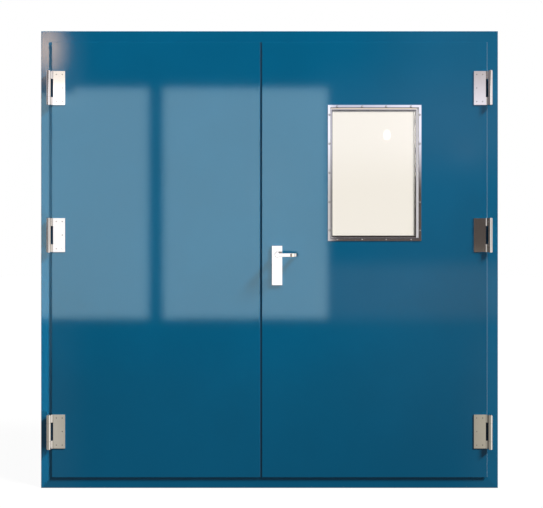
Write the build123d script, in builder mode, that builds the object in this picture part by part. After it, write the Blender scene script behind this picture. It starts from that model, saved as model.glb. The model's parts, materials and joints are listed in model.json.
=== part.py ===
# Insulated steel double door: a four-sided frame, a passive leaf on the left and an active leaf
# on the right, hung on three barrel hinges each, with a glazed vision panel and a lever handle.
# Millimetres. X runs along the door, Y from the front to the back, Z up. The origin is on the
# floor, under the middle of the frame.

import os
from math import sqrt

from build123d import *

# Frame: outside size, and the folded section that all four sides share
frame_width = 2100.0
frame_height = 2100.0
frame_depth = 120.0
frame_face = 80.0  # front face of the section
rebate_depth = 80.0  # from the front face back to the stop
stop_width = 25.0  # how far the stop stands into the doorway
fold_radius = 2.0
stop_edge_chamfer = 2.0

# Wall fixings through the jambs
fixing_hole_diameter = 11.0
fixing_end_inset = 300.0
fixing_holes_per_jamb = 4
fixing_depth = 40.0  # from the frame's front face back to the hole

# Leaves
frame_reveal = 52.0  # frame that stays in sight around the leaves
leaf_proud = 8.0  # leaf face ahead of the frame face
lap_gap = 5.2  # frame face to the back of the lap
stop_gap = 6.0  # back of the leaf to the stop
core_side_gap = 8.0
seam_offset = -39.0  # middle of the seam from the middle of the door
seam_gap = 9.0
passive_core_setback = 4.5  # core behind the lap at the meeting edge
active_core_setback = 6.0
leaf_edge_radius = 1.2

# Rubber seals
seal_width = 10.0
seal_edge_chamfer = 2.0
seal_clearance = 1.0
seam_seal_depth = 8.0
seam_seal_clearance = 0.8

# Hinges
hinge_height = 155.0
hinge_plate_reach = 62.0  # plate on the leaf, from the leaf's edge inwards
hinge_plate_thickness = 3.0
hinge_pin_diameter = 14.0
hinge_axis_offset = 10.5  # barrel axis outside the leaf's edge
hinge_end_inset = 211.5  # top and bottom hinge centres from the leaf's ends
middle_hinge_height = 1163.0
middle_knuckle_length = 82.0
knuckle_gap = 0.6
knuckle_fillet = 8.0
hinge_slot_width = 8.0
hinge_web_thickness = 10.0
hinge_web_offset = 3.0  # web outside the axis, away from the leaf
pin_clearance = 0.05
pin_overrun = 1.5

# Vision panel
window_width = 400.0  # between the reveals of the glazing bead
window_height = 595.0
window_sill_height = 1150.0
bead_sheet = 2.0
bead_flange = 14.0
bead_depth = 18.0  # leaf face to the ledge
bead_ledge = 8.5
bead_bend_radius = 1.5
bead_clearance = 1.0
gasket_thickness = 3.0
glass_thickness = 8.0
glass_edge_gap = 3.0

# Lever handle
handle_height = 1076.0
handle_backset = 69.0
handle_plate_width = 48.0
handle_plate_height = 181.0
handle_plate_thickness = 8.0
handle_plate_top = 38.5  # spindle to the plate's top edge
handle_plate_chamfer = 1.0
lever_height = 17.0
lever_neck_diameter = 22.0
lever_thickness = 10.0
lever_projection = 65.5  # leaf face to the middle of the bar
lever_reach = 91.0  # spindle to the leg that turns back to the leaf
lever_return_radius = 33.0
lever_return_gap = 10.0  # end of that leg to the leaf
lever_edge_chamfer = 1.5
lever_seat = 4.0  # neck let into the plate
lever_clearance = 0.4
spindle_size = 8.0
spindle_hole_clearance = 2.0

# Mortise lock in the meeting edge, and its strike
lock_plate_width = 24.0
lock_plate_height = 235.0
lock_plate_thickness = 3.0
lock_plate_drop = 40.0  # spindle down to the middle of the plate
lock_setback = 40.0  # back of the lap to the middle of the plate
latch_width = 16.0
latch_height = 22.0
latch_length = 36.0
latch_projection = 4.0
latch_bevel = 4.0
latch_clearance = 0.5
strike_plate_height = 160.0

# Depths, front to back
frame_front = -frame_depth / 2
stop_face = frame_front + rebate_depth
leaf_front = frame_front - leaf_proud
lap_back = frame_front - lap_gap
core_back = stop_face - stop_gap

# Widths and heights of the leaves
leaf_edge = frame_width / 2 - frame_reveal
leaf_bottom = frame_reveal
leaf_top = frame_height - frame_reveal
core_inset = frame_face + core_side_gap
core_edge = frame_width / 2 - core_inset
core_bottom = core_inset
core_top = frame_height - core_inset
passive_lap_edge = seam_offset - seam_gap / 2
active_lap_edge = seam_offset + seam_gap / 2
passive_core_edge = passive_lap_edge - passive_core_setback
active_core_edge = active_lap_edge + active_core_setback

# Hinge axes and levels
barrel_radius = hinge_pin_diameter / 2 + hinge_plate_thickness
bore_radius = hinge_pin_diameter / 2 + pin_clearance
hinge_axis_x = leaf_edge + hinge_axis_offset
hinge_axis_y = leaf_front - barrel_radius
plate_front = leaf_front - hinge_plate_thickness
hinge_levels = {
    "bottom": leaf_bottom + hinge_end_inset,
    "middle": middle_hinge_height,
    "top": leaf_top - hinge_end_inset,
}

# Vision panel in the middle of the active leaf's width
window_x = (active_lap_edge + leaf_edge) / 2
window_z = window_sill_height + window_height / 2
window_cut_margin = bead_sheet + bead_clearance
window_cut_width = window_width + 2 * window_cut_margin
window_cut_height = window_height + 2 * window_cut_margin
glass_width = window_cut_width - 2 * glass_edge_gap
glass_height = window_cut_height - 2 * glass_edge_gap
glass_setback = bead_depth + bead_sheet + gasket_thickness

# Handle
spindle_x = active_lap_edge + handle_backset
handle_plate_z = handle_height + handle_plate_top - handle_plate_height / 2

# Lock
lock_y = lap_back + lock_setback
lock_z = handle_height - lock_plate_drop


def side_plane(inward, depth, middle, half_out, half_run):
    # Plane of a section on one side of a rectangle: x inwards, y along depth, z along the side.
    run = inward.cross(depth)
    return Plane(origin=middle - inward * half_out - run * half_run, x_dir=inward, z_dir=run)


def mitred_bar(section, plane, length):
    # A section run along one side of a rectangle and cut at 45 degrees at both corners.
    with BuildPart() as bar:
        with BuildSketch(plane):
            add(section)
        extrude(amount=length)
        split(bisect_by=Plane(plane.origin, z_dir=plane.z_dir - plane.x_dir), keep=Keep.TOP)
        far_corner = plane.origin + plane.z_dir * length
        split(bisect_by=Plane(far_corner, z_dir=-plane.z_dir - plane.x_dir), keep=Keep.TOP)
    return bar.part


def four_sides(width, height, depth, middle):
    # Plane and length of each side of an upright rectangle.
    sides = {
        "left": (Vector(1, 0, 0), width, height),
        "right": (Vector(-1, 0, 0), width, height),
        "top": (Vector(0, 0, -1), height, width),
        "bottom": (Vector(0, 0, 1), height, width),
    }
    return {
        name: (side_plane(inward, depth, middle, across / 2, along / 2), along)
        for name, (inward, across, along) in sides.items()
    }


def wall_at(y):
    # Upright plane at depth y, drawn in X and Z, whose positive side faces the front.
    return Plane(origin=(0, y, 0), x_dir=(1, 0, 0), z_dir=(0, -1, 0))


pieces = {}

# Frame sections and the two seals that each side carries
with BuildSketch() as frame_section:
    with BuildLine():
        Polyline(
            (0, 0),
            (frame_face, 0),
            (frame_face, rebate_depth),
            (frame_face + stop_width, rebate_depth),
            (frame_face + stop_width, frame_depth),
            (0, frame_depth),
            close=True,
        )
    make_face()
    rows = frame_section.vertices().group_by(Axis.Y)
    fillet(rows[0], fold_radius)
    rows = frame_section.vertices().group_by(Axis.X)
    chamfer(rows[-1], stop_edge_chamfer)

lap_seal_height = lap_gap - seal_clearance
stop_seal_height = stop_gap - seal_clearance
lap_seal_middle = (frame_reveal + frame_face) / 2
stop_seal_middle = (core_inset + frame_face + stop_width) / 2
with BuildSketch() as seal_section:
    with Locations((lap_seal_middle, -lap_seal_height / 2)):
        Rectangle(seal_width, lap_seal_height)
    with Locations((stop_seal_middle, rebate_depth - stop_seal_height / 2)):
        Rectangle(seal_width, stop_seal_height)
    noses = seal_section.vertices().group_by(Axis.Y)
    chamfer(noses[0] + noses[2], seal_edge_chamfer)

frame_names = {
    "left": ("frame_jamb_left", "frame_seals_left"),
    "right": ("frame_jamb_right", "frame_seals_right"),
    "top": ("frame_head", "frame_seals_head"),
    "bottom": ("frame_threshold", "frame_seals_threshold"),
}
frame_middle = Vector(0, frame_front, frame_height / 2)
frame_sides = four_sides(frame_width, frame_height, Vector(0, 1, 0), frame_middle)
for side, (plane, length) in frame_sides.items():
    bar_name, seal_name = frame_names[side]
    pieces[bar_name] = mitred_bar(frame_section.sketch, plane, length)
    pieces[seal_name] = mitred_bar(seal_section.sketch, plane, length)

# Wall fixing holes, from the rebate out through each jamb
fixing_pitch = (frame_height - 2 * fixing_end_inset) / (fixing_holes_per_jamb - 1)
for bar_name, side in (("frame_jamb_left", -1), ("frame_jamb_right", 1)):
    outer_face = Plane(
        origin=(side * frame_width / 2, frame_front + fixing_depth, frame_height / 2),
        x_dir=(0, 0, 1),
        z_dir=(side, 0, 0),
    )
    with BuildPart() as jamb:
        add(pieces[bar_name])
        with BuildSketch(outer_face):
            with GridLocations(fixing_pitch, 0, fixing_holes_per_jamb, 1):
                Circle(fixing_hole_diameter / 2)
        extrude(amount=-frame_face, mode=Mode.SUBTRACT)
    pieces[bar_name] = jamb.part


# What is cut through the active leaf: the vision panel's opening and the spindle's hole
with BuildPart() as leaf_openings:
    with BuildSketch(wall_at(core_back)):
        with Locations((window_x, window_z)):
            Rectangle(window_cut_width, window_cut_height)
        with Locations((spindle_x, handle_height)):
            Circle(spindle_size / sqrt(2) + spindle_hole_clearance)
    extrude(amount=core_back - leaf_front)


def leaf_face(x_low, x_high, active):
    # Folded front panel that laps over the frame, with rounded front edges.
    with BuildPart() as panel:
        with BuildSketch(wall_at(lap_back)):
            with Locations(((x_low + x_high) / 2, (leaf_bottom + leaf_top) / 2)):
                Rectangle(x_high - x_low, leaf_top - leaf_bottom)
        extrude(amount=lap_back - leaf_front)
        fillet(panel.faces().sort_by(Axis.Y)[0].edges(), leaf_edge_radius)
        if active:
            add(leaf_openings.part, mode=Mode.SUBTRACT)
    return panel.part


def leaf_core(x_low, x_high, active):
    # Insulated box behind the front panel, inside the rebate.
    with BuildPart() as core:
        with BuildSketch(wall_at(core_back)):
            with Locations(((x_low + x_high) / 2, (core_bottom + core_top) / 2)):
                Rectangle(x_high - x_low, core_top - core_bottom)
        extrude(amount=core_back - lap_back)
        if active:
            add(leaf_openings.part, mode=Mode.SUBTRACT)
    return core.part


pieces["passive_leaf_face"] = leaf_face(-leaf_edge, passive_lap_edge, active=False)
pieces["active_leaf_face"] = leaf_face(active_lap_edge, leaf_edge, active=True)
pieces["passive_leaf_core"] = leaf_core(-core_edge, passive_core_edge, active=False)
pieces["active_leaf_core"] = leaf_core(active_core_edge, core_edge, active=True)

# Seal along the passive leaf's meeting edge, behind its lap
seam_seal_tip = active_lap_edge - seam_seal_clearance
with BuildPart() as seam_seal:
    with BuildSketch(Plane.XY.offset(core_bottom)):
        with Locations(((passive_core_edge + seam_seal_tip) / 2, lap_back + seam_seal_depth / 2)):
            Rectangle(seam_seal_tip - passive_core_edge, seam_seal_depth)
    extrude(amount=core_top - core_bottom)
    chamfer(seam_seal.edges().filter_by(Axis.Z).group_by(Axis.X)[-1], seal_edge_chamfer)
pieces["passive_leaf_seam_seal"] = seam_seal.part


def hinge_plate(side, level):
    # Leaf half: a plate rolled into a knuckle at each end, cut back between them.
    axis_x = side * hinge_axis_x
    plate_end = side * (leaf_edge - hinge_plate_reach)
    plate_width = hinge_axis_x - leaf_edge + hinge_plate_reach
    slot_edge = side * (hinge_axis_x - barrel_radius - hinge_slot_width)
    slot_height = middle_knuckle_length + 2 * knuckle_gap
    slot_reach = 2 * barrel_radius + hinge_slot_width
    with BuildPart() as plate:
        with BuildSketch(Plane.XY.offset(level - hinge_height / 2)) as section:
            with Locations((axis_x, hinge_axis_y)):
                Circle(barrel_radius)
            with Locations(((axis_x + plate_end) / 2, (leaf_front + plate_front) / 2)):
                Rectangle(plate_width, hinge_plate_thickness)
            root = section.vertices().group_by(Axis.Y)[0].sort_by_distance((axis_x, hinge_axis_y))[0]
            fillet(root, knuckle_fillet)
            with Locations((axis_x, hinge_axis_y)):
                Circle(bore_radius, mode=Mode.SUBTRACT)
        extrude(amount=hinge_height)
        with BuildSketch(wall_at(leaf_front)):
            with Locations((slot_edge + side * slot_reach / 2, level)):
                Rectangle(slot_reach, slot_height)
        extrude(amount=2 * barrel_radius, mode=Mode.SUBTRACT)
    return plate.part


def hinge_post(side, level):
    # Frame half: the middle knuckle on a web welded to the frame's face.
    axis_x = side * hinge_axis_x
    web_x = axis_x + side * hinge_web_offset
    with BuildPart() as post:
        with BuildSketch(Plane.XY.offset(level - middle_knuckle_length / 2)):
            with Locations((axis_x, hinge_axis_y)):
                Circle(barrel_radius)
            with Locations((web_x, (hinge_axis_y + frame_front) / 2)):
                Rectangle(hinge_web_thickness, frame_front - hinge_axis_y)
            with Locations((axis_x, hinge_axis_y)):
                Circle(bore_radius, mode=Mode.SUBTRACT)
        extrude(amount=middle_knuckle_length)
    return post.part


for hand, side in (("left", -1), ("right", 1)):
    for level_name, level in hinge_levels.items():
        pieces[f"hinge_plate_{hand}_{level_name}"] = hinge_plate(side, level)
        pieces[f"hinge_post_{hand}_{level_name}"] = hinge_post(side, level)
    pin_length = hinge_height + 2 * pin_overrun
    with BuildPart() as pins:
        for level in hinge_levels.values():
            with BuildSketch(Plane.XY.offset(level - pin_length / 2)):
                with Locations((side * hinge_axis_x, hinge_axis_y)):
                    Circle(hinge_pin_diameter / 2)
            extrude(amount=pin_length)
    pieces[f"hinge_pins_{hand}"] = pins.part

# Glazing bead: a folded strip with a flange on the leaf, a reveal and a ledge over the glass
reveal_out = bead_flange - bead_sheet
ledge_in = bead_flange + bead_ledge
with BuildSketch() as bead_section:
    with BuildLine():
        Polyline(
            (0, -bead_sheet),
            (bead_flange, -bead_sheet),
            (bead_flange, bead_depth),
            (ledge_in, bead_depth),
            (ledge_in, bead_depth + bead_sheet),
            (reveal_out, bead_depth + bead_sheet),
            (reveal_out, 0),
            (0, 0),
            close=True,
        )
    make_face()
    bends = bead_section.vertices().sort_by_distance((bead_flange, -bead_sheet))
    fillet(bends[0], bead_bend_radius)


def rectangular_ring(width, height, border, y_low, y_high):
    # Flat ring around the middle of the vision panel.
    with BuildPart() as ring:
        with BuildSketch(wall_at(y_high)):
            with Locations((window_x, window_z)):
                Rectangle(width, height)
                Rectangle(width - 2 * border, height - 2 * border, mode=Mode.SUBTRACT)
        extrude(amount=y_high - y_low)
    return ring.part


def pane(y_low, y_high):
    with BuildPart() as glass:
        with BuildSketch(wall_at(y_high)):
            with Locations((window_x, window_z)):
                Rectangle(glass_width, glass_height)
        extrude(amount=y_high - y_low)
    return glass.part


bead_width = window_width + 2 * bead_flange
bead_height = window_height + 2 * bead_flange
for where, face, inwards in (("front", leaf_front, 1), ("rear", core_back, -1)):
    bead_middle = Vector(window_x, face, window_z)
    bead_sides = four_sides(bead_width, bead_height, Vector(0, inwards, 0), bead_middle)
    bars = {side: mitred_bar(bead_section.sketch, *bead_sides[side]) for side in bead_sides}
    for pair_name, pair in (("sides", ("left", "right")), ("rails", ("top", "bottom"))):
        with BuildPart() as strips:
            add(bars[pair[0]])
            add(bars[pair[1]])
        pieces[f"window_bead_{where}_{pair_name}"] = strips.part
    ledge_back = face + inwards * (bead_depth + bead_sheet)
    glass_near = face + inwards * glass_setback
    glass_far = glass_near + inwards * glass_thickness
    pieces[f"window_gasket_{where}"] = rectangular_ring(
        window_width, window_height, bead_ledge, *sorted((ledge_back, glass_near))
    )
    pieces[f"window_glass_{where}"] = pane(*sorted((glass_near, glass_far)))

front_glass_back = leaf_front + glass_setback + glass_thickness
rear_glass_front = core_back - glass_setback - glass_thickness
pieces["window_spacer"] = rectangular_ring(
    window_width, window_height, bead_ledge, front_glass_back, rear_glass_front
)


def handle_plate(face, outwards):
    # Back plate on one side of the active leaf, bored for the lever's neck.
    with BuildPart() as plate:
        with BuildSketch(wall_at(face)):
            with Locations((spindle_x, handle_plate_z)):
                Rectangle(handle_plate_width, handle_plate_height)
            with Locations((spindle_x, handle_height)):
                Circle(lever_neck_diameter / 2 + lever_clearance, mode=Mode.SUBTRACT)
        extrude(amount=-outwards * handle_plate_thickness)
        show_face = plate.faces().filter_by(Axis.Y).sort_by(Axis.Y)[0 if outwards < 0 else -1]
        chamfer(show_face.outer_wire().edges(), handle_plate_chamfer)
    return plate.part


def lever(face, outwards):
    # Round neck out of the plate, and a flat bar from it towards the hinges and back to the leaf.
    neck_start = handle_plate_thickness - lever_seat
    neck_length = lever_projection + lever_thickness / 2 - neck_start
    arm_y = face + outwards * lever_projection
    leg_x = spindle_x + lever_reach
    leg_end = face + outwards * lever_return_gap
    with BuildPart() as bar:
        with BuildSketch(wall_at(face + outwards * neck_start)):
            with Locations((spindle_x, handle_height)):
                Circle(lever_neck_diameter / 2)
        extrude(amount=-outwards * neck_length)
        show_face = bar.faces().filter_by(Axis.Y).sort_by(Axis.Y)[0 if outwards < 0 else -1]
        chamfer(show_face.edges(), lever_edge_chamfer)
        with BuildLine() as route:
            FilletPolyline(
                (spindle_x, arm_y, handle_height),
                (leg_x, arm_y, handle_height),
                (leg_x, leg_end, handle_height),
                radius=lever_return_radius,
            )
        across = Plane(origin=route.line @ 0, x_dir=(0, 1, 0), z_dir=route.line % 0)
        with BuildSketch(across) as section:
            Rectangle(lever_thickness, lever_height)
            chamfer(section.vertices(), lever_edge_chamfer)
        sweep()
    return bar.part


for where, face, outwards in (("front", leaf_front, -1), ("rear", core_back, 1)):
    pieces[f"handle_plate_{where}"] = handle_plate(face, outwards)
    pieces[f"handle_lever_{where}"] = lever(face, outwards)

# Square spindle through the leaf, from neck to neck
neck_end = handle_plate_thickness - lever_seat
with BuildPart() as spindle:
    with BuildSketch(wall_at(core_back + neck_end)):
        with Locations((spindle_x, handle_height)):
            Rectangle(spindle_size, spindle_size)
    extrude(amount=core_back - leaf_front + 2 * neck_end)
pieces["handle_spindle"] = spindle.part


def edge_plate(edge, inwards, height, middle_z):
    # Thin plate let flush into a meeting edge, with the latch's opening.
    with BuildPart() as plate:
        with BuildSketch(Plane(origin=(edge, lock_y, middle_z), x_dir=(0, 1, 0), z_dir=(1, 0, 0))):
            Rectangle(lock_plate_width, height)
            with Locations((0, handle_height - middle_z)):
                Rectangle(
                    latch_width + 2 * latch_clearance,
                    latch_height + 2 * latch_clearance,
                    mode=Mode.SUBTRACT,
                )
        extrude(amount=inwards * lock_plate_thickness)
    return plate.part


def let_in(leaf, edge, inwards, height, middle_z):
    # The recess for an edge plate and the pocket for the latch behind it.
    pocket_depth = latch_length - latch_projection + latch_clearance
    with BuildPart() as leaf_body:
        add(leaf)
        with BuildSketch(Plane(origin=(edge, lock_y, middle_z), x_dir=(0, 1, 0), z_dir=(1, 0, 0))):
            Rectangle(lock_plate_width, height)
        extrude(amount=inwards * lock_plate_thickness, mode=Mode.SUBTRACT)
        with BuildSketch(
            Plane(origin=(edge, lock_y, handle_height), x_dir=(0, 1, 0), z_dir=(1, 0, 0))
        ):
            Rectangle(latch_width + 2 * latch_clearance, latch_height + 2 * latch_clearance)
        extrude(amount=inwards * pocket_depth, mode=Mode.SUBTRACT)
    return leaf_body.part


for leaf_name, plate_name, edge, inwards, height, middle_z in (
    ("active_leaf_core", "lock_faceplate", active_core_edge, 1, lock_plate_height, lock_z),
    ("passive_leaf_core", "strike_plate", passive_core_edge, -1, strike_plate_height, handle_height),
):
    pieces[leaf_name] = let_in(pieces[leaf_name], edge, inwards, height, middle_z)
    pieces[plate_name] = edge_plate(edge, inwards, height, middle_z)

# Latch bolt, drawn back, with its slanted nose towards the front
latch_tip = active_core_edge - latch_projection
with BuildPart() as latch:
    with BuildSketch(Plane.XY.offset(handle_height - latch_height / 2)):
        with Locations((latch_tip + latch_length / 2, lock_y)):
            Rectangle(latch_length, latch_width)
    extrude(amount=latch_height)
    nose = latch.edges().filter_by(Axis.Z).group_by(Axis.X)[0].sort_by(Axis.Y)[0]
    chamfer(nose, length=latch_bevel)
pieces["latch_bolt"] = latch.part

os.makedirs("parts", exist_ok=True)
for name, piece in pieces.items():
    piece.label = name
    export_step(piece, f"parts/{name}.step")
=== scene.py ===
import json
import math

import bmesh
import bpy
from mathutils import Matrix, Vector


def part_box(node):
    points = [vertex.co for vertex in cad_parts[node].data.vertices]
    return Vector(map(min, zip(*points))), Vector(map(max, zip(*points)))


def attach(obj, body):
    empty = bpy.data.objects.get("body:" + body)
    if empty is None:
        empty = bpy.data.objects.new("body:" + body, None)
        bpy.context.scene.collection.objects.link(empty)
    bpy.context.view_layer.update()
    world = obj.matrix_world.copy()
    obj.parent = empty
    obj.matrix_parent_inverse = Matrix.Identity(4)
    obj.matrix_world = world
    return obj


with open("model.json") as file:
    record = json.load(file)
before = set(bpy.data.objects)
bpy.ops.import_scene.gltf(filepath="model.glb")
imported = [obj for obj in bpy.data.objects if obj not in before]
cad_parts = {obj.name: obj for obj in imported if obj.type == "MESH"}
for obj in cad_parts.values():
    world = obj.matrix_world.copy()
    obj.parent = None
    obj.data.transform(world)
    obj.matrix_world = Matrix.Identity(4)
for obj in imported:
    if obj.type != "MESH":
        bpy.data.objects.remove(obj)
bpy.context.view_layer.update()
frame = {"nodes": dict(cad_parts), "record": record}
nodes = frame["nodes"]


# a socket that can stand in a sum, and the tree that it lives in
class Wire:
    def __init__(self, graph, socket):
        self.graph = graph
        self.socket = socket

    def calc(self, operation, *values):
        return self.graph.add("ShaderNodeMath", {"operation": operation}, dict(enumerate(values)))["Value"]

    def __add__(self, other):
        return self.calc("ADD", self, other)

    def __radd__(self, other):
        return self.calc("ADD", other, self)

    def __sub__(self, other):
        return self.calc("SUBTRACT", self, other)

    def __rsub__(self, other):
        return self.calc("SUBTRACT", other, self)

    def __mul__(self, other):
        return self.calc("MULTIPLY", self, other)

    def __rmul__(self, other):
        return self.calc("MULTIPLY", other, self)

    def __truediv__(self, other):
        return self.calc("DIVIDE", self, other)

    def __rtruediv__(self, other):
        return self.calc("DIVIDE", other, self)


class Graph:
    def __init__(self, tree):
        self.tree = tree
        tree.nodes.clear()

    def pick(self, sockets, key):
        if isinstance(key, int):
            return sockets[key]
        return next(s for s in sockets if s.name == key and s.enabled)

    # any node: its type, its settings, then the values or links of its sockets
    def add(self, kind, settings=None, sockets=None):
        node = self.tree.nodes.new(kind)
        for name, value in (settings or {}).items():
            setattr(node, name, value)
        for key, value in (sockets or {}).items():
            target = self.pick(node.inputs, key)
            if isinstance(value, Wire):
                self.tree.links.new(value.socket, target)
            else:
                target.default_value = value
        return {s.name: Wire(self, s) for s in node.outputs if s.enabled}

    def noise(self, vector, scale, detail=2.0, rough=0.5):
        sockets = {"Vector": vector, "Scale": scale, "Detail": detail, "Roughness": rough}
        return self.add("ShaderNodeTexNoise", {}, sockets)["Fac"]

    # 0 below low, 1 above high, smooth between
    def step(self, value, low, high):
        sockets = {"Value": value, "From Min": low, "From Max": high, "To Min": 0.0, "To Max": 1.0}
        return self.add("ShaderNodeMapRange", {"interpolation_type": "SMOOTHSTEP"}, sockets)["Result"]

    # 1 from low to high, with soft ends
    def between(self, value, low, high, soft):
        return self.step(value, low - soft, low + soft) * (1 - self.step(value, high - soft, high + soft))

    def highest(self, first, second):
        return self.add("ShaderNodeMath", {"operation": "MAXIMUM"}, {0: first, 1: second})["Value"]

    def blend(self, factor, first, second):
        sockets = {"Factor": factor, "A": first, "B": second}
        return self.add("ShaderNodeMix", {"data_type": "RGBA"}, sockets)["Result"]

    def stretched(self, vector, scale):
        return self.add("ShaderNodeMapping", {}, {"Vector": vector, "Scale": scale})["Vector"]

    def bump(self, height, strength, distance):
        sockets = {"Height": height, "Strength": strength, "Distance": distance}
        return self.add("ShaderNodeBump", {}, sockets)["Normal"]


def linear(red, green, blue):  # a screen colour, 0 to 255, as Blender wants it
    def channel(c):
        c /= 255.0
        return c / 12.92 if c <= 0.04045 else ((c + 0.055) / 1.055) ** 2.4

    return (channel(red), channel(green), channel(blue), 1.0)


def newMaterial(name):
    material = bpy.data.materials.new(name)
    material.use_nodes = True
    graph = Graph(material.node_tree)
    return material, graph, graph.add("ShaderNodeTexCoord")["Object"]


def finishMaterial(graph, sockets):
    shader = graph.add("ShaderNodeBsdfPrincipled", {}, sockets)["BSDF"]
    graph.add("ShaderNodeOutputMaterial", {}, {"Surface": shader})


paintLook = {
    "colour": linear(3, 92, 129),
    "deeper": linear(3, 89, 125),
    "gloss": 0.035,
    "grainScale": 200.0,  # grain of the powder coat, about 5 mm from hump to hump
    "peelScale": 70.0,
    "grainHeight": 0.000035,
    "grainDull": 0.02,
    "cloudScale": 2.3,
    "specular": 0.15,
    "dustWidth": 0.015,  # dust dulls the frame along the leaves' left and lower edges
    "dust": 0.3,
    "paintedEdgeHighlightWidth": 0.0016,  # painted highlight: a lighter strip on the active leaf's hinge edge, where its rounded edge catches light
    "paintedEdgeHighlight": (0.24, 0.34, 0.42, 1.0),
    "slotShadeReach": 0.032,  # painted shade under the hinges' slots, in from the leaf's edge
    "slotShadeHeight": 0.086,
    "slotShadeDull": 0.5,
    "slotShade": (0.0005, 0.014, 0.04, 1.0),
}


def doorPaint():
    material, graph, place = newMaterial("door_paint")
    look = paintLook
    grain = graph.noise(place, look["grainScale"], 1.0)
    peel = graph.noise(place, look["peelScale"], 2.0)
    cloud = graph.step(graph.noise(place, look["cloudScale"], 3.0), 0.35, 0.65)
    axes = graph.add("ShaderNodeSeparateXYZ", {}, {"Vector": place})
    (leafLeft, _, leafBottom), (_, _, leafTop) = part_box("passive_leaf_face")
    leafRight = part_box("active_leaf_face")[1][0]
    wide = look["dustWidth"]
    besideLeaf = graph.between(axes["X"], leafLeft - wide, leafLeft, 0.0004)
    besideLeaf = besideLeaf * graph.between(axes["Z"], leafBottom - wide, leafTop, 0.004)
    belowLeaf = graph.between(axes["Z"], leafBottom - wide, leafBottom, 0.0004)
    belowLeaf = belowLeaf * graph.between(axes["X"], leafLeft - wide, leafRight, 0.004)
    dust = look["dust"] * graph.highest(besideLeaf, belowLeaf)
    # painted highlight along the active leaf's outer hinge edge, in place of light caught by its rounded edge
    thin = look["paintedEdgeHighlightWidth"]
    paintedEdgeHighlight = graph.step(axes["X"], leafRight - thin, leafRight - 0.5 * thin)
    paintedEdgeHighlight = paintedEdgeHighlight * graph.between(axes["Z"], leafBottom, leafTop, 0.0005)
    paintedEdgeHighlight = paintedEdgeHighlight * (1 - graph.step(axes["X"], leafRight, leafRight + 0.0003))
    # painted shade where the hinges' slots lie in shadow: darker colour and duller gloss
    slots = 0.0
    for level in ("bottom", "middle", "top"):
        low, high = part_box(f"hinge_plate_right_{level}")
        middle, half = (low[2] + high[2]) / 2, look["slotShadeHeight"] / 2
        slots = slots + graph.between(axes["Z"], middle - half, middle + half, 0.002)
    outwards = axes["X"].calc("ABSOLUTE", axes["X"])
    slotShade = slots * graph.between(outwards, leafRight - look["slotShadeReach"], leafRight + 0.004, 0.001)
    colour = graph.blend(cloud, look["colour"], look["deeper"])
    colour = graph.blend(paintedEdgeHighlight, colour, look["paintedEdgeHighlight"])
    finishMaterial(graph, {
        "Base Color": graph.blend(slotShade, colour, look["slotShade"]),
        "Roughness": look["gloss"] + look["grainDull"] * grain + dust + look["slotShadeDull"] * slotShade,
        "Specular IOR Level": look["specular"],
        "Normal": graph.bump(grain * 0.8 + peel * 0.4, 1.0, look["grainHeight"]),
    })
    return material


# painted shade in the bead's folds, blended into its colour: its reveal, half way in, and the ledge where it meets
# the glass
def paintedFoldShade(graph, place, colour, foldShade):
    axes = graph.add("ShaderNodeSeparateXYZ", {}, {"Vector": place})
    offsets = {axis: axes[axis] - middle for axis, middle in zip("XYZ", foldShade["middle"])}
    beyond = {axis: graph.highest(offset, -1 * offset) for axis, offset in offsets.items()}
    sides, rails = beyond["X"] - foldShade["halfWidth"], beyond["Z"] - foldShade["halfHeight"]
    edge = graph.highest(sides, rails)
    wall = graph.between(edge, -foldShade["wallBand"], foldShade["wallBand"], foldShade["wallSoft"])
    halfWay, soft = foldShade["halfWay"], foldShade["halfWaySoft"]
    deep = 1 - graph.step(beyond["Y"], halfWay - soft, halfWay + soft)
    onRail = graph.step(rails - sides, -foldShade["mitreSoft"], foldShade["mitreSoft"])
    sideShade = foldShade["sideFront"] + (foldShade["sideDeep"] - foldShade["sideFront"]) * deep
    railShade = foldShade["railFront"] + (foldShade["railDeep"] - foldShade["railFront"]) * deep
    clean, soft = -foldShade["ledgeUnshaded"], foldShade["ledgeSoft"]
    ledge = 1 - graph.step(edge, clean - soft, clean + soft)
    # painted shade: how dark each point of the reveal and ledge is painted, sides and rails differently
    dull = graph.highest(wall * (sideShade + (railShade - sideShade) * onRail), foldShade["ledge"] * ledge)
    return graph.blend(dull, colour, foldShade["tone"])


brushing = {"stainScale": 24.0, "lineDull": 0.04, "lineHeight": 0.000005}


def brushedSteel(name, look):
    material, graph, place = newMaterial(name)
    lines = graph.noise(graph.stretched(place, look["brush"]), 1.0, 3.0, 0.6)
    stain = graph.noise(place, brushing["stainScale"], 3.0)
    colour = graph.blend(stain, look["colour"], look["darker"])
    # painted shade in the bead's reveal and ledge
    if "foldShade" in look:
        colour = paintedFoldShade(graph, place, colour, look["foldShade"])
    finishMaterial(graph, {
        "Base Color": colour,
        "Metallic": 1.0,
        "Roughness": look["gloss"] + brushing["lineDull"] * lines,
        "Normal": graph.bump(lines, look["relief"], brushing["lineHeight"]),
    })
    return material


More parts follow.
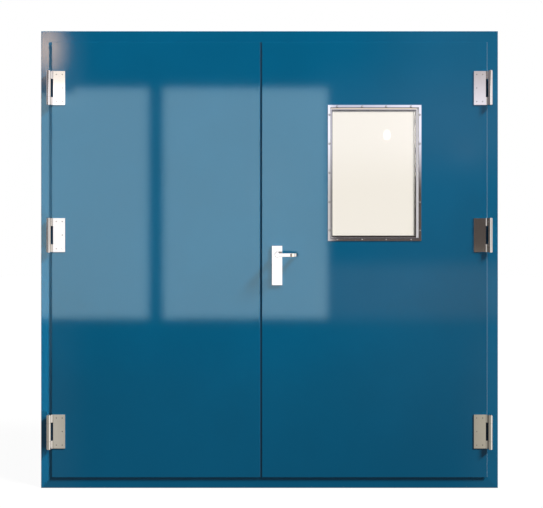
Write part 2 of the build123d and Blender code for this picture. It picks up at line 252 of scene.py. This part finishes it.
hingeLook = {
    "colour": (0.68, 0.662, 0.645, 1.0),
    "darker": (0.62, 0.602, 0.585, 1.0),
    "gloss": 0.04,
    "brush": (900.0, 900.0, 14.0),
    "relief": 0.25,
}
beadLook = {
    "colour": (0.85, 0.84, 0.85, 1.0),
    "darker": (0.79, 0.78, 0.79, 1.0),
    "gloss": 0.02,
    "brush": (700.0, 700.0, 30.0),
    "relief": 0.05,
    "foldShade": {
        "middle": (0.4817, -0.027, 1.4475),  # of the window, between the leaf's two faces
        "halfWidth": 0.2,  # from the middle to the reveal
        "halfHeight": 0.2975,
        "halfWay": 0.033,  # half the reveal's depth, from the middle
        "halfWaySoft": 0.002,
        "wallBand": 0.0008,
        "wallSoft": 0.0003,
        "mitreSoft": 0.0005,
        "ledgeUnshaded": 0.004,  # part of the ledge left without painted shade
        "ledgeSoft": 0.0007,
        "sideFront": 0.15,  # how much painted shade each part gets
        "sideDeep": 0.7,
        "railFront": 0.85,
        "railDeep": 0.3,
        "ledge": 0.85,
        # colour of the painted shade
        "tone": (0.1, 0.095, 0.095, 1.0),
    },
}
screwLook = {
    "colour": (0.42, 0.41, 0.39, 1.0),
    "darker": (0.35, 0.34, 0.32, 1.0),
    "gloss": 0.12,
    "brush": (300.0, 300.0, 300.0),
    "relief": 0.25,
}
handleLook = {
    "colour": (0.74, 0.73, 0.72, 1.0),
    "darker": (0.68, 0.67, 0.66, 1.0),
    "gloss": 0.04,
    "brush": (20.0, 800.0, 800.0),
    "relief": 0.25,
}


rubberLook = {"speckScale": 900.0, "dull": 0.5, "speckDull": 0.15, "specular": 0.25, "speckHeight": 0.0001}
rubberTones = ((0.012, 0.012, 0.013, 1.0), (0.02, 0.02, 0.021, 1.0))
# the door paint's blue as it looks in the shaded seam: painted shade for the seam lip
seamShadeTones = ((0.004, 0.036, 0.074, 1.0), (0.005, 0.043, 0.088, 1.0))


def sealRubber(name, tones):
    material, graph, place = newMaterial(name)
    speck = graph.noise(place, rubberLook["speckScale"], 2.0)
    finishMaterial(graph, {
        "Base Color": graph.blend(speck, *tones),
        "Roughness": rubberLook["dull"] + rubberLook["speckDull"] * speck,
        "Specular IOR Level": rubberLook["specular"],
        "Normal": graph.bump(speck, 0.3, rubberLook["speckHeight"]),
    })
    return material


spacerLook = {
    "colour": (0.02, 0.02, 0.02, 1.0),
    "paler": (0.035, 0.034, 0.033, 1.0),
    "speckScale": 500.0,
    "dull": 0.45,
    "speckDull": 0.1,
}


def spacerPlastic():
    material, graph, place = newMaterial("glazing_spacer")
    speck = graph.noise(place, spacerLook["speckScale"], 2.0)
    finishMaterial(graph, {
        "Base Color": graph.blend(speck, spacerLook["colour"], spacerLook["paler"]),
        "Roughness": spacerLook["dull"] + spacerLook["speckDull"] * speck,
    })
    return material


glassLook = {
    "colour": (0.992, 0.964, 0.914, 1.0),
    "warmer": (0.984, 0.956, 0.904, 1.0),
    "driftScale": 1.5,
    "bend": 1.45,
    "mirror": 1.7,
}


def windowGlass():
    material, graph, place = newMaterial("window_glass")
    drift = graph.noise(place, glassLook["driftScale"], 1.0)
    finishMaterial(graph, {
        "Base Color": graph.blend(drift, glassLook["colour"], glassLook["warmer"]),
        "Roughness": 0.0,
        "IOR": glassLook["bend"],
        "Coat Weight": 1.0,
        "Coat Roughness": 0.0,
        "Coat IOR": glassLook["mirror"],
        "Transmission Weight": 1.0,
    })
    return material


paint = doorPaint()
hingeSteel = brushedSteel("stainless", hingeLook)
beadSteel = brushedSteel("bead_stainless", beadLook)
handleSteel = brushedSteel("handle_stainless", handleLook)
screwSteel = brushedSteel("screw_steel", screwLook)
rubber = sealRubber("seal_rubber", rubberTones)
seamShadeRubber = sealRubber("seam_lip_shade", seamShadeTones)
finishes = {
    "door_paint": paint,
    "stainless": hingeSteel,
    "bead_stainless": beadSteel,
    "handle_stainless": handleSteel,
    "seal_rubber": rubber,
    "glazing_spacer": spacerPlastic(),
    "window_glass": windowGlass(),
}
for sub in frame["record"]["subparts"]:
    mesh = nodes[sub["node"]].data
    mesh.materials.clear()
    mesh.materials.append(finishes[sub["material_slot"]])
print("finishes on", len(nodes), "nodes")


# screws with low round heads, and a dark ring of painted shade under each bead screw: all lengths in metres
hingeScrew = {"radius": 0.0028, "height": 0.0007, "edge": 0.0003, "socket": 0.0014, "socketDepth": 0.0005}
beadScrew = {"radius": 0.0034, "height": 0.002, "edge": 0.0018, "socket": 0.0009, "socketDepth": 0.0006}
beadScrewShadeRing = {"radius": 0.0046, "height": 0.0004, "edge": 0.0002, "socket": 0.003, "socketDepth": 0.0001}
headSegments = 20
hingeScrewPlaces = {
    "columns": (0.949, 0.976),  # from the middle of the door
    "endInset": 0.0155,  # rows from the ends of the plate
    "plateThickness": 0.003,
}
beadScrewPlaces = {
    "across": (0.310, 0.424, 0.534, 0.648),
    "upright": (1.714, 1.5815, 1.448, 1.314, 1.185),
    "flangeMiddle": 0.007,
}
lockScrewPlaces = {"endInset": 0.012}


def addScrew(shape, place, facing, size):
    made = bmesh.ops.create_cone(shape, cap_ends=True, segments=headSegments, radius1=size["radius"],
                                 radius2=size["radius"], depth=size["height"])
    verts = made["verts"]
    bmesh.ops.translate(shape, verts=verts, vec=(0, 0, size["height"] / 2))
    top = max({f for v in verts for f in v.link_faces}, key=lambda f: f.calc_center_median().z)
    rim = bmesh.ops.bevel(shape, geom=list(top.edges), offset=size["edge"], offset_type="OFFSET", affect="EDGES",
                          segments=3, profile=0.5, material=-1)
    verts = list({v for v in verts if v.is_valid} | set(rim["verts"]))
    top = max({f for v in verts for f in v.link_faces}, key=lambda f: f.calc_center_median().z)
    inner = bmesh.ops.inset_region(shape, faces=[top], thickness=size["radius"] - size["edge"] - size["socket"])
    sunk = bmesh.ops.extrude_discrete_faces(shape, faces=[top])["faces"][0]
    bmesh.ops.translate(shape, verts=list(sunk.verts), vec=(0, 0, -size["socketDepth"]))
    verts = list(set(verts) | {v for f in inner["faces"] for v in f.verts} | set(sunk.verts))
    turn = Vector((0, 0, 1)).rotation_difference(Vector(facing)).to_matrix().to_4x4()
    bmesh.ops.transform(shape, matrix=Matrix.Translation(place) @ turn, verts=verts)


def finishPiece(name, shape, material, body):
    mesh = bpy.data.meshes.new(name)
    bmesh.ops.remove_doubles(shape, verts=shape.verts, dist=0.000001)
    bmesh.ops.recalc_face_normals(shape, faces=shape.faces)
    shape.to_mesh(mesh)
    shape.free()
    mesh.materials.append(material)
    piece = bpy.data.objects.new(name, mesh)
    bpy.context.collection.objects.link(piece)
    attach(piece, body)


def buildHingeScrews():
    for hand, sign, body in (("left", -1, "passive_leaf"), ("right", 1, "active_leaf")):
        shape = bmesh.new()
        for level in ("bottom", "middle", "top"):
            low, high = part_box(f"hinge_plate_{hand}_{level}")
            front = high[1] - hingeScrewPlaces["plateThickness"]
            inner, outer = hingeScrewPlaces["columns"]
            inset = hingeScrewPlaces["endInset"]
            for x, z in ((inner, low[2] + inset), (outer, low[2] + inset), (inner, (low[2] + high[2]) / 2),
                         (inner, high[2] - inset), (outer, high[2] - inset)):
                addScrew(shape, (sign * x, front, z), (0, -1, 0), hingeScrew)
        finishPiece(f"hinge_screws_{hand}", shape, screwSteel, body)


def buildBeadScrews():
    for where, outwards in (("front", -1), ("rear", 1)):
        low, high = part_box(f"window_bead_{where}_sides")
        face = low[1] if outwards < 0 else high[1]
        middle = beadScrewPlaces["flangeMiddle"]
        places = [(x, face, z) for x in beadScrewPlaces["across"] for z in (low[2] + middle, high[2] - middle)]
        places += [(x, face, z) for z in beadScrewPlaces["upright"] for x in (low[0] + middle, high[0] - middle)]
        heads, shadeRings = bmesh.new(), bmesh.new()
        for place in places:
            addScrew(heads, place, (0, outwards, 0), beadScrew)
            # painted shade: a dark ring under each head stands in for the shade around it
            addScrew(shadeRings, place, (0, outwards, 0), beadScrewShadeRing)
        finishPiece(f"bead_screws_{where}", heads, beadSteel, "active_leaf")
        finishPiece(f"bead_screw_shade_rings_{where}", shadeRings, rubber, "active_leaf")


# the line where the bead's two folded strips meet, on the flange
beadJoint = {"fromEdge": 0.0112, "width": 0.0017, "height": 0.0002}


def buildBeadJoint():
    low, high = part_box("window_bead_front_sides")
    inset, y = beadJoint["fromEdge"], low[1] - beadJoint["height"]
    left, right, bottom, top = low[0] + inset, high[0] - inset, low[2] + inset, high[2] - inset
    shape = bmesh.new()
    corners = ((left, y, bottom), (right, y, bottom), (right, y, top), (left, y, top))
    face = shape.faces.new([shape.verts.new(corner) for corner in corners])
    face.normal_update()  # the inset needs it
    strip = bmesh.ops.inset_region(shape, faces=[face], thickness=beadJoint["width"], use_boundary=True,
                                   use_even_offset=True)["faces"]
    bmesh.ops.delete(shape, geom=[face], context="FACES")
    grown = bmesh.ops.extrude_face_region(shape, geom=strip, use_keep_orig=True)
    back = [v for v in grown["geom"] if isinstance(v, bmesh.types.BMVert)]
    bmesh.ops.translate(shape, verts=back, vec=(0, beadJoint["height"], 0))
    finishPiece("bead_joint", shape, rubber, "active_leaf")


def buildLockScrews():
    for plate, body, facing in (("lock_faceplate", "active_leaf", -1), ("strike_plate", "passive_leaf", 1)):
        low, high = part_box(plate)
        face = low[0] if facing < 0 else high[0]
        shape = bmesh.new()
        for z in (low[2] + lockScrewPlaces["endInset"], high[2] - lockScrewPlaces["endInset"]):
            addScrew(shape, (face, (low[1] + high[1]) / 2, z), (facing, 0, 0), hingeScrew)
        finishPiece(f"{plate}_screws", shape, screwSteel, body)


# a lip on the meeting seal: it fills the seam in front of the seal, and its thin tip feathers out behind the
# other leaf's edge
seamLip = {"front": 0.0003, "fin": 0.0004, "behindLap": 0.0002, "reach": 0.0012, "clear": 0.0005, "endInset": 0.001}


def buildSeamLip():
    low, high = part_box("passive_leaf_seam_seal")
    (_, _, foot), (near, _, head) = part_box("passive_leaf_face")
    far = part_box("active_leaf_face")[0][0]
    foot, head = foot + seamLip["endInset"], head - seamLip["endInset"]
    lapBack = low[1]
    front, finFront = lapBack - seamLip["front"], lapBack + seamLip["behindLap"]
    finBack = finFront + seamLip["fin"]
    gapEnd, tip = far - seamLip["clear"], far + seamLip["reach"]
    rim = ((near, lapBack), (near, front), (gapEnd, front), (gapEnd, finFront),
           (tip, finFront), (tip, finBack), (high[0], finBack), (high[0], lapBack))
    shape = bmesh.new()
    face = shape.faces.new([shape.verts.new((x, y, foot)) for x, y in rim])
    grown = bmesh.ops.extrude_face_region(shape, geom=[face])
    rise = [v for v in grown["geom"] if isinstance(v, bmesh.types.BMVert)]
    bmesh.ops.translate(shape, verts=rise, vec=(0, 0, head - foot))
    # the lip's dark navy is painted shade of the seam
    finishPiece("seam_lip", shape, seamShadeRubber, "passive_leaf")


buildHingeScrews()
buildBeadScrews()
buildBeadJoint()
buildLockScrews()
buildSeamLip()
print("screws, joint line and seam lip built")


# the room behind the camera, which gloss paint and metal mirror
roomTones = {
    "ambient": (0.15, 0.15, 0.16, 1.0),
    "wall": (0.115, 0.097, 0.09, 1.0),
    "ceiling": (0.65, 0.61, 0.68, 1.0),
    "floor": (0.28, 0.26, 0.22, 1.0),
    "behindDoor": (0.8, 0.8, 0.8, 1.0),
}
# two panes of daylight; the low gloss of the paint gets its share from lamps that are linked to it alone
windowPanes = {
    "left": {"side": (-0.42, -0.185), "up": (-0.169, 0.184)},
    "right": {"side": (-0.163, 0.089), "up": (-0.169, 0.184)},
}
rightHaze = {"centre": (0.3, -0.02), "radii": (0.3, 0.5), "tone": (0.6, 0.35, 0.2)}
cornerGlow = {"centre": (-0.3423, 0.245), "radii": (0.044, 0.07), "tone": (36.0, 23.0, 13.0)}
paneLook = {
    "inMetal": (1.5, 1.5, 1.53),
    "inPaint": (7.1, 10.7, 11.7),
    "soft": 0.014,
    "paintSoft": 0.005,
    "distance": 9.0,  # from the leaves' faces to the lamps
}
# soft-edged lights, by the slopes at which they stand to the side and up: low, high, and softness
roomLights = {
    "lowBand": {"side": (0.085, 1.2), "up": (-0.17, -0.086), "soft": (0.03, 0.016), "tone": (1.45, 1.25, 0.98)},
    "litWall": {"side": (0.078, 1.2), "up": (0.07, 0.19), "soft": (0.03, 0.05), "tone": (0.65, 0.69, 0.85)},
    "upperRight": {"side": (0.2, 1.2), "up": (0.08, 0.34), "soft": (0.08, 0.06), "tone": (0.53, 0.48, 0.49)},
    "rightSpot": {"side": (0.285, 0.32), "up": (0.07, 0.1), "soft": (0.025, 0.025), "tone": (1.0, 0.87, 0.75)},
    "cornerLamp": {"side": (-0.4, -0.29), "up": (0.16, 0.27), "soft": (0.02, 0.02), "tone": (1.35, 1.25, 1.15)},
    "lowLeft": {"side": (-0.9, -0.3), "up": (-0.6, -0.16), "soft": (0.03, 0.02), "tone": (0.42, 0.41, 0.37)},
    "lowRight": {"side": (0.305, 0.9), "up": (-0.6, -0.19), "soft": (0.03, 0.02), "tone": (0.35, 0.33, 0.27)},
    "rightSide": {"side": (0.6, 300.0), "up": (-30.0, 30.0), "soft": (0.25, 1.0), "tone": (0.9, 0.87, 0.84)},
}
ovalSpot = {"centre": (0.18, 0.112), "radii": (0.0056, 0.0078), "soft": 0.35, "tone": (3.0, 3.0, 3.2)}


def addGlow(graph, room, mask, tone):
    glow = graph.add("ShaderNodeVectorMath", {"operation": "SCALE"}, {0: tone, "Scale": mask})["Vector"]
    return graph.add("ShaderNodeVectorMath", {"operation": "ADD"}, {0: room, 1: glow})["Vector"]


def buildWorld():
    world = bpy.data.worlds.new("studio")
    world.use_nodes = True
    world.cycles.sampling_method = "NONE"
    graph = Graph(world.node_tree)
    direction = graph.add("ShaderNodeTexCoord")["Generated"]
    axes = graph.add("ShaderNodeSeparateXYZ", {}, {"Vector": direction})
    ahead = graph.highest(-1 * axes["Y"], 0.01)
    side = axes["X"] / ahead
    up = axes["Z"] / ahead
    room = graph.blend(graph.step(up, -0.3, -0.15), roomTones["floor"], roomTones["wall"])
    room = graph.blend(graph.step(up, 0.3, 0.9), room, roomTones["ceiling"])
    paneSoft = (paneLook["soft"], paneLook["soft"])
    panes = [dict(pane, soft=paneSoft, tone=paneLook["inMetal"]) for pane in windowPanes.values()]
    for light in [*panes, *roomLights.values()]:
        softSide, softUp = light["soft"]
        mask = graph.between(side, *light["side"], softSide) * graph.between(up, *light["up"], softUp)
        room = addGlow(graph, room, mask, light["tone"])
    across = (side - ovalSpot["centre"][0]) / ovalSpot["radii"][0]
    rise = (up - ovalSpot["centre"][1]) / ovalSpot["radii"][1]
    mask = 1 - graph.step(across * across + rise * rise, 1 - ovalSpot["soft"], 1 + ovalSpot["soft"])
    room = addGlow(graph, room, mask, ovalSpot["tone"])
    room = graph.blend(graph.step(axes["Y"], 0.1, 0.5), room, roomTones["behindDoor"])
    path = graph.add("ShaderNodeLightPath")
    seen = graph.blend(path["Is Glossy Ray"], roomTones["ambient"], room)
    clear = graph.highest(path["Is Camera Ray"], path["Is Transmission Ray"])
    seen = graph.blend(clear, seen, (1.0, 1.0, 1.0, 1.0))
    back = graph.add("ShaderNodeBackground", {}, {"Color": seen, "Strength": 1.0})["Background"]
    graph.add("ShaderNodeOutputWorld", {}, {"Surface": back})
    bpy.context.scene.world = world


# the key throws the shadows to the lower left
sunLamps = {
    "key_light": {"from": (2.1, -1.0, 2.4), "strength": 5.8, "spread": 11.0, "tone": (1.0, 0.98, 0.95)},
}
panels = {
    "top_panel": {"place": (0.0, -2.2, 4.2), "aim": (0.0, 0.0, 1.6), "size": (2.6, 1.2), "power": 22.0},
    "rear_panel": {"place": (-0.8, 4.2, 2.6), "aim": (0.0, 0.0, 1.05), "size": (3.0, 2.0), "power": 150.0},
}
frontSpot = {
    "place": (0.0, -6.0, 1.6),
    "aim": (-0.1, 0.0, 2.05),
    "cone": 34.0,
    "blend": 0.5,
    "power": 335.0,
    "radius": 0.4,
}
# fill for the jambs alone, whose faces are lit more than the leaves
jambFill = {
    "left": {"place": (-0.45, -0.34, 0.42), "aim": (-1.03, -0.06, 0.42), "size": (0.06, 1.0), "power": 8.0},
    "right": {"place": (1.35, -0.8, 0.6), "aim": (1.03, 0.0, 0.6), "size": (0.2, 0.9), "power": 1.3},
}


def addLamp(name, lamp, place, towards):
    holder = bpy.data.objects.new(name, lamp)
    holder.location = place
    holder.rotation_euler = (-Vector(towards)).to_track_quat("Z", "Y").to_euler()
    bpy.context.collection.objects.link(holder)
    return holder


def addPanel(name, setup):
    lamp = bpy.data.lights.new(name, "AREA")
    lamp.shape = "RECTANGLE"
    lamp.size, lamp.size_y = setup["size"]
    lamp.energy = setup["power"]
    return addLamp(name, lamp, setup["place"], Vector(setup["aim"]) - Vector(setup["place"]))


def gather(name, members):
    group = bpy.data.collections.new(name)
    for member in members:
        group.objects.link(nodes[member])
    return group


def buildLamps():
    for name, setup in sunLamps.items():
        lamp = bpy.data.lights.new(name, "SUN")
        lamp.energy = setup["strength"]
        lamp.angle = math.radians(setup["spread"])
        lamp.color = setup["tone"]
        addLamp(name, lamp, (0, 0, 3), -Vector(setup["from"]))
    holders = [addPanel(name, setup) for name, setup in panels.items()]
    lamp = bpy.data.lights.new("front_spot", "SPOT")
    lamp.energy = frontSpot["power"]
    lamp.spot_size = math.radians(frontSpot["cone"])
    lamp.spot_blend = frontSpot["blend"]
    lamp.shadow_soft_size = frontSpot["radius"]
    towards = Vector(frontSpot["aim"]) - Vector(frontSpot["place"])
    holders.append(addLamp("front_spot", lamp, frontSpot["place"], towards))
    for hand, fill in jambFill.items():
        holders.append(addPanel(f"jamb_fill_{hand}", fill))
        holders[-1].light_linking.receiver_collection = gather(f"jamb_{hand}", [f"frame_jamb_{hand}"])
    for holder in holders:
        holder.visible_camera = False
        holder.visible_glossy = False


# a lamp far in front that only the paint mirrors; its shade across itself comes from the mask
def addPaintLamp(name, centre, halves, tone, shade, painted):
    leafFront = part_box("active_leaf_face")[0][1]
    eyeX, eyeY, eyeZ = cameraSet["place"]
    reach = leafFront - eyeY + paneLook["distance"]  # from the mirrored eye to the lamp
    level = max(tone)
    lamp = bpy.data.lights.new(name, "AREA")
    lamp.shape = "RECTANGLE"
    lamp.size, lamp.size_y = (2 * half * reach for half in halves)
    lamp.energy = level * math.pi * lamp.size * lamp.size_y
    lamp.color = [part / level for part in tone]
    lamp.use_nodes = True
    graph = Graph(lamp.node_tree)
    place = graph.add("ShaderNodeNewGeometry")["Parametric"]
    axes = graph.add("ShaderNodeSeparateXYZ", {}, {"Vector": place})
    mask = shade(graph, 2 * axes["X"] - 1, 2 * axes["Y"] - 1)
    glow = graph.add("ShaderNodeEmission", {}, {"Strength": mask})["Emission"]
    graph.add("ShaderNodeOutputLight", {}, {"Surface": glow})
    place = (eyeX + centre[0] * reach, leafFront - paneLook["distance"], eyeZ + centre[1] * reach)
    holder = addLamp(name, lamp, place, (0, 1, 0))
    holder.visible_camera = False
    holder.visible_diffuse = False
    holder.visible_transmission = False
    holder.light_linking.receiver_collection = painted


def buildPaintLamps():
    subparts = frame["record"]["subparts"]
    painted = gather("painted", [sub["node"] for sub in subparts if sub["material_slot"] == "door_paint"])
    soft = paneLook["paintSoft"]
    for name, pane in windowPanes.items():
        (left, right), (bottom, top) = pane["side"], pane["up"]
        wide, tall = (right - left) / 2 + soft, (top - bottom) / 2 + soft

        def shade(graph, across, rise, wide=wide, tall=tall):
            softX, softZ = soft / wide, soft / tall
            lit = graph.between(across, softX - 1, 1 - softX, softX)
            return lit * graph.between(rise, softZ - 1, 1 - softZ, softZ)

        centre = ((left + right) / 2, (bottom + top) / 2)
        addPaintLamp(f"window_{name}", centre, (wide, tall), paneLook["inPaint"], shade, painted)

    def oval(graph, across, rise):
        square = across * across + rise * rise
        return 1 - graph.step(square.calc("SQRT", square), 0.0, 1.0)

    for name, glow in (("corner_glow", cornerGlow), ("right_haze", rightHaze)):
        addPaintLamp(name, glow["centre"], glow["radii"], glow["tone"], oval, painted)


floorLook = {"reach": 9.0, "tone": (0.8, 0.8, 0.8, 1.0), "lift": 0.94}


def buildFloor():
    mesh = bpy.data.meshes.new("studio_floor")
    shape = bmesh.new()
    bmesh.ops.create_grid(shape, x_segments=1, y_segments=1, size=floorLook["reach"])
    shape.to_mesh(mesh)
    shape.free()
    floor = bpy.data.objects.new("studio_floor", mesh)
    bpy.context.collection.objects.link(floor)
    material = bpy.data.materials.new("studio_floor")
    material.use_nodes = True
    graph = Graph(material.node_tree)
    path = graph.add("ShaderNodeLightPath")
    matt = graph.add("ShaderNodeBsdfDiffuse", {}, {"Color": floorLook["tone"]})["BSDF"]
    white = graph.add("ShaderNodeEmission", {}, {"Strength": 1.0})["Emission"]
    lift = graph.highest(path["Is Camera Ray"], path["Is Transmission Ray"]) * floorLook["lift"]
    shader = graph.add("ShaderNodeMixShader", {}, {0: lift, 1: matt, 2: white})["Shader"]
    graph.add("ShaderNodeOutputMaterial", {}, {"Surface": shader})
    mesh.materials.append(material)
    floor.visible_glossy = False
    floor.visible_diffuse = False


cameraSet = {
    "place": (0.0, -3.06, 1.287),
    "imageSize": (543, 508),
    "eyePoint": (269.5, 208.0),  # where the photograph's line of sight meets the door, in pixels
    "pixelsPerMetre": 217.6,  # at the frame's front face
    "sensor": 36.0,
}


def buildCamera():
    width, height = cameraSet["imageSize"]
    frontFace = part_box("frame_head")[0][1]
    distance = frontFace - cameraSet["place"][1]
    lens = bpy.data.cameras.new("camera")
    lens.sensor_width = cameraSet["sensor"]
    lens.lens = cameraSet["pixelsPerMetre"] * distance / width * cameraSet["sensor"]
    lens.shift_x = (width / 2 - cameraSet["eyePoint"][0]) / width
    lens.shift_y = (cameraSet["eyePoint"][1] - height / 2) / width
    camera = bpy.data.objects.new("camera", lens)
    camera.location = cameraSet["place"]
    camera.rotation_euler = (math.radians(90), 0, 0)
    bpy.context.collection.objects.link(camera)
    bpy.context.scene.camera = camera


buildWorld()
buildLamps()
buildPaintLamps()
buildFloor()
buildCamera()
bpy.context.scene.view_settings.view_transform = "Standard"
print("studio built")
